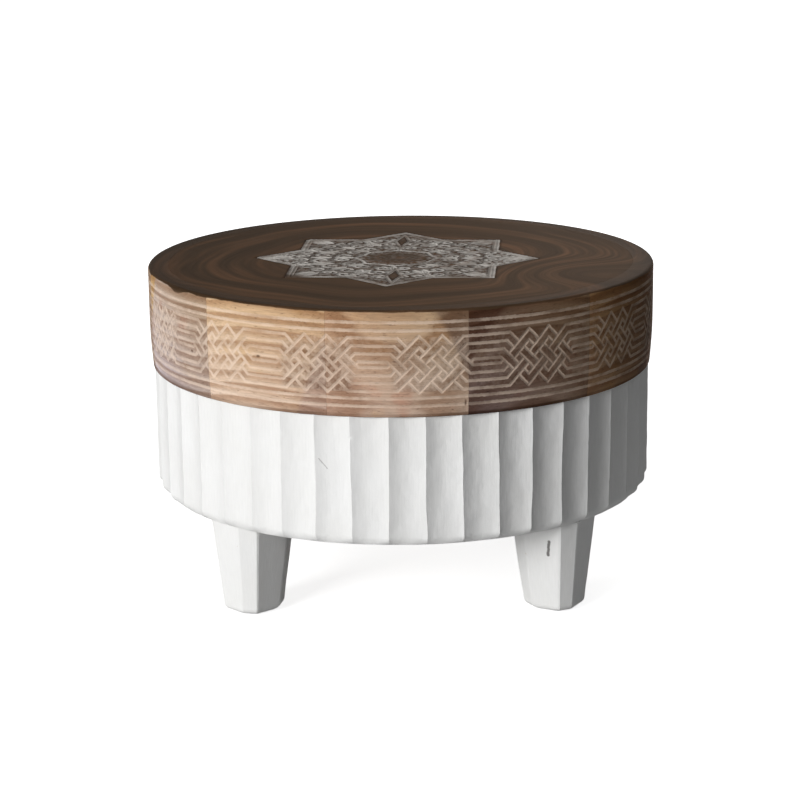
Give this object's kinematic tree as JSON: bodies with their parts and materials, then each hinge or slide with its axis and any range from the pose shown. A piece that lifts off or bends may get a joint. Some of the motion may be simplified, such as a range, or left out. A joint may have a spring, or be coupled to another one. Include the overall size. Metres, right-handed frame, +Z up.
{
  "type": "round carved drum stool",
  "caption": "Low round wooden drum stool: dark board set in a carved interlace band, white fluted drum below, short tapered faceted legs.",
  "frame": {"origin": "on the floor under the middle of the stool, at the centre of the bottom of its box", "axes": "+Z up through the seat, -Y towards the front as the picture shows it, +X to the viewer's right"},
  "size_m": [0.5, 0.5, 0.315],
  "materials": {
    "dark_stained_wood": "dark stained top board, waxed, whitewashed carving",
    "carved_wood": "natural oiled wood, carved and whitewashed",
    "white_painted_wood": "matt white paint on hand-carved wood",
    "plain_wood": "bare sawn wood",
    "screw_steel": "zinc plated",
    "glide": "plain"
  },
  "bodies": {
    "root": {"band_block_01": "carved_wood", "band_block_02": "carved_wood", "band_block_03": "carved_wood", "band_block_04": "carved_wood", "band_block_05": "carved_wood", "band_block_06": "carved_wood", "band_block_07": "carved_wood", "band_block_08": "carved_wood", "band_block_09": "carved_wood", "band_block_10": "carved_wood", "band_block_11": "carved_wood", "band_block_12": "carved_wood", "band_tongues": "plain_wood", "batten_back": "plain_wood", "batten_front": "plain_wood", "batten_screws": "screw_steel", "drum_block_01": "white_painted_wood", "drum_block_02": "white_painted_wood", "drum_block_03": "white_painted_wood", "drum_block_04": "white_painted_wood", "drum_block_05": "white_painted_wood", "drum_block_06": "white_painted_wood", "drum_block_07": "white_painted_wood", "drum_block_08": "white_painted_wood", "drum_block_09": "white_painted_wood", "drum_block_10": "white_painted_wood", "drum_block_11": "white_painted_wood", "drum_block_12": "white_painted_wood", "drum_block_13": "white_painted_wood", "drum_block_14": "white_painted_wood", "drum_block_15": "white_painted_wood", "drum_tongues": "plain_wood", "glide_back_left": "glide", "glide_back_right": "glide", "glide_front_left": "glide", "glide_front_right": "glide", "leg_back_left": "white_painted_wood", "leg_back_right": "white_painted_wood", "leg_front_left": "white_painted_wood", "leg_front_right": "white_painted_wood", "leg_screws": "screw_steel", "rail_dowels": "plain_wood", "rail_lower": "plain_wood", "rail_upper": "plain_wood", "ring_dowels": "plain_wood", "top_board": "dark_stained_wood"}
  },
  "joints": []
}
